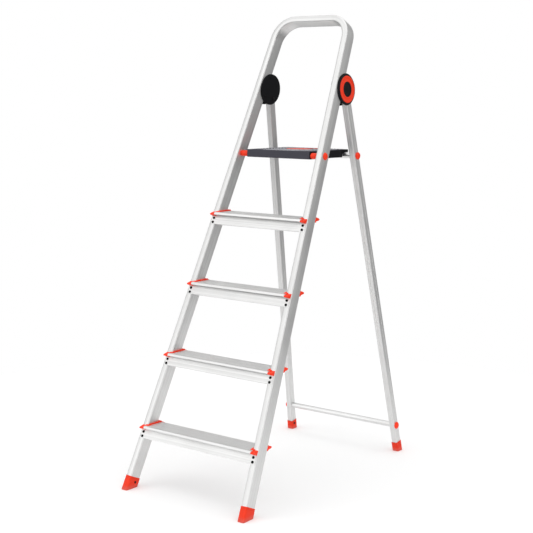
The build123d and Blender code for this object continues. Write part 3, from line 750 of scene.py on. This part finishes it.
def leg_frame():
    """The same for the rear legs, which lean the other way."""
    sizes = bpy.context.scene.ladder_tube
    turn = Matrix.Rotation(math.pi / 2 + sizes.leg_lean, 4, "X")
    return Matrix.Translation((0, sizes.leg_ground, 0)) @ turn


def tube_middle(width, across, splay, up):
    """How far from the ladder's middle a splayed tube's centre line is, at a distance up it."""
    return width / 2 - across / 2 * math.hypot(1, splay) - splay * up


def stile_middle(up):
    sizes = bpy.context.scene.ladder_tube
    return tube_middle(sizes.width, sizes.across, sizes.splay, up)


def leg_middle(up):
    sizes = bpy.context.scene.ladder_tube
    return tube_middle(sizes.leg_width, sizes.leg_across, sizes.leg_splay, up)


def disc_outward(side):
    """Unit vector out of a hinge disc, square to its splayed stile."""
    sizes = bpy.context.scene.ladder_tube
    out = Vector((side, sizes.splay, 0)).normalized()
    return stile_frame().to_3x3() @ out


# ---------------------------------------------------------------- operators
class LADDER_OT_studio(bpy.types.Operator):
    """Sets up the camera, the pale floor and the soft dome of light"""

    bl_idname = "ladder.studio"
    bl_label = "Studio"

    def execute(self, context):
        studio = context.scene.ladder_studio
        self.make_camera(studio)
        self.make_floor(studio)
        self.make_dome(studio)
        context.scene.view_settings.view_transform = "Standard"
        return {"FINISHED"}

    def make_camera(self, studio):
        camera = bpy.data.objects.new("camera", bpy.data.cameras.new("camera"))
        bpy.context.scene.collection.objects.link(camera)
        camera.data.lens = studio.lens
        turn = Matrix.Rotation(studio.heading, 4, "Z")
        turn = turn @ Matrix.Rotation(math.pi / 2 - studio.pitch, 4, "X")
        turn = turn @ Matrix.Rotation(studio.roll, 4, "Z")
        camera.matrix_world = Matrix.Translation(studio.eye) @ turn
        bpy.context.scene.camera = camera

    def make_floor(self, studio):
        mesh = bpy.data.meshes.new("floor")
        rim = turned([(studio.floor_radius, 0)], even_angles(FLOOR_STEPS))[0]
        mesh.from_pydata(rim, [], [range(FLOOR_STEPS)])
        floor = new_piece("floor", mesh)
        material, tree, surface = new_material("floor")
        place = object_position(tree)
        shade = [0.99 * c for c in studio.floor]
        tone = mixed(tree, noise(tree, place, 3.0, 3.0), shade, studio.floor[:])
        fill(tree, surface, {
            "Base Color": tone, "Roughness": 0.9, "Specular IOR Level": 0.0,
            "Emission Color": tone, "Emission Strength": studio.floor_glow,
        })
        mesh.materials.append(material)

    def make_dome(self, studio):
        world = bpy.data.worlds.new("dome")
        bpy.context.scene.world = world
        world.use_nodes = True
        tree = world.node_tree
        tree.nodes.clear()
        way = add(tree, "ShaderNodeTexCoord").outputs["Generated"]
        light = studio.dome
        # Each softbox's strength, where it is, and the cosines at which its light starts and is full.
        boxes = (
            (studio.key, (-0.40, -0.82, 0.32), 0.70, 0.97),
            (studio.side, (0.93, -0.30, 0.22), 0.72, 0.97),
            (studio.rim, (-0.62, 0.76, 0.20), 0.60, 0.97),
            (studio.back, (0.60, 0.74, 0.35), 0.90, 0.99),
            (studio.top, (0.0, 0.0, 1.0), 0.55, 0.95),
        )
        for strength, towards, fades_from, full_at in boxes:
            reach = vector_maths(tree, "DOT_PRODUCT", way, tuple(Vector(towards).normalized()))
            light = plus(tree, light, between(tree, reach, fades_from, full_at, 0.0, strength))
        seen = add(tree, "ShaderNodeLightPath").outputs["Is Camera Ray"]
        lit = add(tree, "ShaderNodeBackground", {"Strength": light})
        backdrop = add(tree, "ShaderNodeBackground", {"Color": (1, 1, 1, 1), "Strength": 1.0})
        both = add(tree, "ShaderNodeMixShader", {0: seen, 1: lit.outputs[0], 2: backdrop.outputs[0]})
        tree.links.new(both.outputs[0], add(tree, "ShaderNodeOutputWorld").inputs[0])


class LADDER_OT_frame_tube(bpy.types.Operator):
    """Bends the tube that makes both stiles and the handrail bow"""

    bl_idname = "ladder.frame_tube"
    bl_label = "Stiles and bow"

    def execute(self, context):
        sizes = context.scene.ladder_tube
        place = stile_frame() @ Matrix.Translation((0, 0, -sizes.depth / 2))
        top = sizes.top - sizes.across / 2
        corners = [(-stile_middle(sizes.start), sizes.start), (-stile_middle(top), top)]
        corners += [(-x, up) for x, up in reversed(corners)]
        line = [place @ Vector((x, up, 0)) for x, up in corners]
        path = bpy.data.meshes.new("path")
        path.from_pydata(line, [(0, 1), (1, 2), (2, 3)], [])
        mesh = grown(bent_tube_tree(), path, {
            "Width": sizes.across, "Depth": sizes.depth, "Corner": sizes.corner,
            "Bend Radius": sizes.bend, "Bend Steps": sizes.bend_steps, "Flare": sizes.flare,
            "Face": tuple(place.to_3x3() @ Z_AXIS), "Material": FINISHES["stile_aluminium"],
        })
        smooth(mesh, 30.0)
        place_piece("stiles_and_bow", mesh, "front_frame", ["front_frame"])
        return {"FINISHED"}


class LADDER_OT_metalwork(bpy.types.Operator):
    """Finishes the treads, the rear legs, their crossbars and the axle"""

    bl_idname = "ladder.metalwork"
    bl_label = "Metalwork"

    def execute(self, context):
        for step in TREADS:
            paint(f"tread_{step}", "tread_aluminium")
        for name, _ in SIDES:
            paint(f"rear_leg_{name}", f"leg_aluminium_{name}")
            paint(f"pivot_bolt_{name}", "black_steel")
        for label in ("upper", "lower"):
            paint(f"{label}_crossbar", "bar_aluminium")
        paint("platform_axle", "axle_steel")
        return {"FINISHED"}


class LADDER_OT_mouldings(bpy.types.Operator):
    """Finishes the red tread caps, the collars and the plugs in the legs"""

    bl_idname = "ladder.mouldings"
    bl_label = "Mouldings"

    def execute(self, context):
        for name, _ in SIDES:
            for step in TREADS:
                paint(f"tread_cap_{name}_{step}", "red_plastic")
            paint(f"axle_collar_{name}", "red_plastic")
            paint(f"leg_plug_{name}", "black_plastic")
        return {"FINISHED"}


class LADDER_OT_boots(bpy.types.Operator):
    """Moulds the boots, ribbed and cut flat on the floor"""

    bl_idname = "ladder.boots"
    bl_label = "Boots"

    def execute(self, context):
        sizes, boots = context.scene.ladder_tube, context.scene.ladder_boots
        kinds = (
            ("front", stile_frame(), stile_middle, sizes.splay, (sizes.depth, sizes.across),
             boots.top, boots.ribs),
            ("rear", leg_frame(), leg_middle, sizes.leg_splay, (sizes.leg_depth, sizes.leg_across),
             boots.rear_top, boots.rear_ribs),
        )
        for name, side in SIDES:
            for label, *shape in kinds:
                mesh = self.boot(boots, side, *shape)
                nodes = [f"foot_{label}_{name}"]
                place_piece(
                    f"boot_{label}_{name}", mesh, f"{label}_frame", nodes, "red_rubber"
                )
        return {"FINISHED"}

    def boot(self, boots, side, place, middle, splay, section, top, ribs):
        """Rings round the tube from the boot's rim down to its sole, which lies in the floor's plane."""
        depth, across = section[0] + 2 * boots.wall, section[1] + 2 * boots.wall
        up_tube = Vector((-side * splay, 1, 0)).normalized()
        sideways = Vector((up_tube.y, -up_tube.x, 0))
        run = place.to_3x3() @ up_tube

        def ring(up, inset, height=None):
            centre = Vector((side * middle(up), up, -section[0] / 2))
            points = []
            for deep, wide in rounded_outline(depth / 2 - inset, across / 2 - inset, boots.corner, 5):
                point = place @ (centre + Z_AXIS * deep + sideways * wide)
                if height is not None:
                    point += run * (height - point.z) / run.z
                points.append(point)
            return points

        rim, lip, mouth = 0.7 * MM, 0.6 * MM, 0.9 * boots.wall
        rings = [ring(top - 2 * rim, mouth), ring(top, mouth), ring(top, lip), ring(top - rim, 0)]
        half, groove = 0.45 * MM, boots.rib_depth
        for i in range(ribs):
            low = top - boots.first_rib - i * boots.rib_pitch
            for up, inset in ((2 * half, 0), (half, groove), (-half, groove), (-2 * half, 0)):
                rings.append(ring(low + up, inset))
        sole, eased = 1.2 * MM, 0.35 * MM
        rings += [ring(0, 0, sole), ring(0, eased, eased), ring(0, sole, 0.0)]
        return bridged(rings)


class LADDER_OT_hinges(bpy.types.Operator):
    """Finishes the hinge discs and turns their rings and plain badges"""

    bl_idname = "ladder.hinges"
    bl_label = "Hinge discs"

    def execute(self, context):
        turned_parts = (
            ("ring", "dial", self.ring_profile(), "red_plastic"),
            ("badge", "boss", self.badge_profile(), "black_plastic"),
        )
        for name, side in SIDES:
            paint(f"hinge_housing_{name}", "black_plastic")
            paint(f"hinge_cover_{name}", "black_plastic")
            for node, piece, profile, label in turned_parts:
                self.turn_piece(f"hinge_{piece}_{name}", profile, side, label, f"hinge_{node}_{name}")
        return {"FINISHED"}

    def turn_piece(self, name, profile, side, label, node):
        """Turns a profile in millimetres where the CAD node is. It is a ring if its ends meet."""
        rings = turned([(r * MM, h * MM) for r, h in profile], even_angles(DISC_STEPS))
        mesh = bridged(rings, profile[0] != profile[-1])
        low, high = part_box(node)
        mesh.transform(facing((low + high) / 2, disc_outward(side)))
        place_piece(name, mesh, "front_frame", [node], label)

    def ring_profile(self):
        """(radius, height) round the ring's section: crowned outside, a sunk band, a raised inner lip."""
        return [
            (25.3, -1.1), (44.7, -1.1), (44.8, 0.2), (44.5, 0.7), (43.9, 1.0), (42.7, 1.1), (38.6, 0.75),
            (37.8, 0.55), (37.2, 0.1), (36.4, -0.1), (31.0, 0.0), (30.3, 0.15), (29.8, 0.65), (28.9, 1.0),
            (26.8, 1.1), (25.8, 1.0), (25.3, 0.6), (25.2, 0.1), (25.3, -1.1),
        ]

    def badge_profile(self):
        """A plain dished boss with a raised rim."""
        return [
            (22.4, -1.0), (22.6, -0.5), (22.5, 0.1), (21.9, 0.4), (20.9, 0.55), (19.9, 0.45), (19.2, 0.15),
            (13.0, 0.45), (6.5, 0.7), (2.0, 0.75),
        ]


class LADDER_OT_platform(bpy.types.Operator):
    """Finishes the platform and its inlays and raises its anti-slip dashes"""

    bl_idname = "ladder.platform"
    bl_label = "Platform"

    def execute(self, context):
        grip = context.scene.ladder_grip
        paint("platform_tray", "slate_plastic")
        for label in ("front", "rear"):
            paint(f"platform_inlay_{label}", "red_plastic")
        low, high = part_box("platform_tray")
        ovals = []
        for label in ("front", "rear"):
            inlay_low, inlay_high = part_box(f"platform_inlay_{label}")
            ovals.append(((inlay_low + inlay_high) / 2, (inlay_high - inlay_low) / 2))
        (first, first_half), (second, second_half) = ovals
        clear = Vector((grip.inlay_margin, grip.inlay_margin, 0))
        point = bpy.data.meshes.new("point")
        point.from_pydata([(0, 0, 0)], [], [])
        border = Vector((grip.margin + grip.dash_long / 2, grip.margin, 0))
        pattern = new_piece("dash_pattern", self.dash(grip))
        mesh = grown(dash_tree(), point, {
            "Pattern": pattern, "Rings": grip.rings, "Oval": tuple(first_half),
            "Ring Gap": grip.ring_gap, "Pitch": grip.pitch,
            "Centre": (first.x, first.y, high.z), "Middle": tuple((low + high) / 2),
            "Half Size": tuple((high - low) / 2 - border), "Second Oval": tuple(second_half + clear),
            "Second Centre": (second.x, second.y, high.z), "Material": FINISHES["dash_plastic"],
        })
        bpy.data.objects.remove(pattern)
        smooth(mesh)
        place_piece("platform_dashes", mesh, "platform")
        return {"FINISHED"}

    def dash(self, grip):
        """A small bar lying along X with rounded ends and a crowned top."""
        rings = []
        for height, inset in ((-0.2 * MM, 0.0), (0.55 * grip.dash_high, 0.0), (grip.dash_high, 0.5 * MM)):
            radius = grip.dash_wide / 2 - inset
            outline = rounded_outline(grip.dash_long / 2 - inset, radius, radius * 0.98, 3)
            rings.append([Vector((x, y, height)) for x, y in outline])
        return bridged(rings)


class LADDER_OT_fastenings(bpy.types.Operator):
    """Puts in the screws and the domed red buttons"""

    bl_idname = "ladder.fastenings"
    bl_label = "Fastenings"

    def execute(self, context):
        sizes = context.scene.ladder_fastenings
        tubes = context.scene.ladder_tube
        self.tree = fastening_tree()
        height = sizes.head_height
        screw = self.screw(sizes.head, height, sizes.shank, sizes.shank_long)
        forward = [stile_frame().to_3x3() @ Z_AXIS]
        self.seat("tread_fixings", screw, ["tread_screws"], "front_frame", forward, height)
        height = sizes.boot_head_height
        ends = (("front", stile_frame(), tubes.splay), ("rear", leg_frame(), tubes.leg_splay))
        for label, place, splay in ends:
            screw = self.screw(sizes.boot_head, height, sizes.shank, sizes.boot_shank_long)
            inward = [place.to_3x3() @ Vector((-side, -splay, 0)).normalized() for _, side in SIDES]
            nodes = [f"foot_screws_{label}"]
            self.seat(f"{label}_boot_fixings", screw, nodes, f"{label}_frame", inward, height)
        height = sizes.cover_head_height
        screw = self.screw(sizes.cover_head, height, sizes.shank, sizes.cover_shank_long)
        outward = [disc_outward(side) for _, side in SIDES]
        nodes = [f"hinge_screws_{name}" for name, _ in SIDES]
        self.seat("hinge_fixings", screw, nodes, "front_frame", [-way for way in outward], height)
        height = sizes.button_height
        button = self.button(sizes.button, height)
        nodes = [f"axle_cap_{name}" for name, _ in SIDES]
        self.seat("axle_buttons", button, nodes, "front_frame", outward, height, "red_plastic")
        nodes = [f"{bar}_bar_cap_{name}" for bar in ("upper", "lower") for name, _ in SIDES]
        sideways = [side * X_AXIS for _, side in SIDES]
        self.seat("crossbar_buttons", button, nodes, "rear_frame", sideways, height, "red_plastic")
        return {"FINISHED"}

    def seat(self, name, pattern_mesh, nodes, body, ways, height, label="black_steel"):
        """One piece of copies, one on each solid of the CAD nodes. ways holds the direction they face,
        or one for the left and one for the right."""
        seats = []
        for node in nodes:
            for points in solids_of(node):
                out = ways[-1] if sum(point.x for point in points) > 0 else ways[0]
                seats.append((seat_of(points, out, height), out))
        seats.sort(key=lambda seat: (round(seat[0].z, 4), round(seat[0].x, 4)))
        pattern = new_piece("pattern", pattern_mesh)
        mesh = grown(self.tree, seated_points(seats), {
            "Pattern": pattern, "Turn": math.tau, "Material": FINISHES[label],
            "Seed": bpy.context.scene.ladder_fastenings.spin_seed,
        })
        bpy.data.objects.remove(pattern)
        smooth(mesh, 40.0)
        place_piece(name, mesh, body, nodes)

    def screw(self, radius, height, shank, long):
        """Pan head with a cross recess, standing on Z = 0, its shank below. Four arms of the recess
        set the angles of its rings."""
        reach, half_slot = 0.62 * radius, 0.17 * radius
        corner = math.atan2(half_slot, reach)
        angles = []
        for quarter in range(4):
            base = quarter * math.pi / 2
            angles += [base - corner, base, base + corner, base + math.pi / 4]

        def cross(scale):
            def radius_at(way):
                turn = abs((way + math.pi / 4) % (math.pi / 2) - math.pi / 4)
                if turn <= corner + 1e-6:
                    return scale * reach / math.cos(turn)
                return scale * half_slot / math.sin(turn)
            return radius_at

        profile = [
            (0.3 * shank, -long), (shank, shank - long), (shank, -0.2 * MM), (0.97 * radius, 0.0),
            (radius, 0.3 * height), (0.9 * radius, 0.7 * height), (0.76 * radius, 0.93 * height),
            (cross(1.0), height), (cross(0.86), 0.35 * height),
        ]
        return bridged(turned(profile, angles))

    def button(self, r, h):
        """Domed button of radius r and height h, with a short skirt below its seat and a small moulding
        gate in its middle."""
        skirt = 2.3 * MM
        profile = [
            (0.55 * r, -skirt), (0.99 * r, -skirt), (r, 0.4 * MM - skirt), (r, 0.12 * h),
            (0.98 * r, 0.26 * h), (0.90 * r, 0.46 * h), (0.76 * r, 0.68 * h), (0.58 * r, 0.85 * h),
            (0.38 * r, 0.96 * h), (0.22 * r, h), (0.19 * r, 0.965 * h), (0.17 * r, 0.87 * h),
            (0.05 * r, 0.86 * h),
        ]
        return bridged(turned(profile, even_angles(BUTTON_STEPS)))


OPERATORS = (
    LADDER_OT_studio, LADDER_OT_frame_tube, LADDER_OT_metalwork, LADDER_OT_mouldings, LADDER_OT_boots,
    LADDER_OT_hinges, LADDER_OT_platform, LADDER_OT_fastenings,
)


class LADDER_PT_panel(bpy.types.Panel):
    """Lists what builds the ladder's looks, in order."""

    bl_idname = "LADDER_PT_panel"
    bl_label = "Step ladder"
    bl_space_type = "VIEW_3D"
    bl_region_type = "UI"
    bl_category = "Step ladder"

    def draw(self, context):
        for operator in OPERATORS:
            self.layout.operator(operator.bl_idname)


CLASSES = (*GROUPS.values(), *OPERATORS, LADDER_PT_panel)


def register():
    for kind in CLASSES:
        bpy.utils.register_class(kind)
    for name, group in GROUPS.items():
        setattr(bpy.types.Scene, name, PointerProperty(type=group))


def unregister():
    for name in GROUPS:
        delattr(bpy.types.Scene, name)
    for kind in reversed(CLASSES):
        bpy.utils.unregister_class(kind)


def main():
    register()
    make_finishes()
    bpy.ops.ladder.studio()
    bpy.ops.ladder.frame_tube()
    bpy.ops.ladder.metalwork()
    bpy.ops.ladder.mouldings()
    bpy.ops.ladder.boots()
    bpy.ops.ladder.hinges()
    bpy.ops.ladder.platform()
    bpy.ops.ladder.fastenings()


if __name__ == "__main__":
    main()
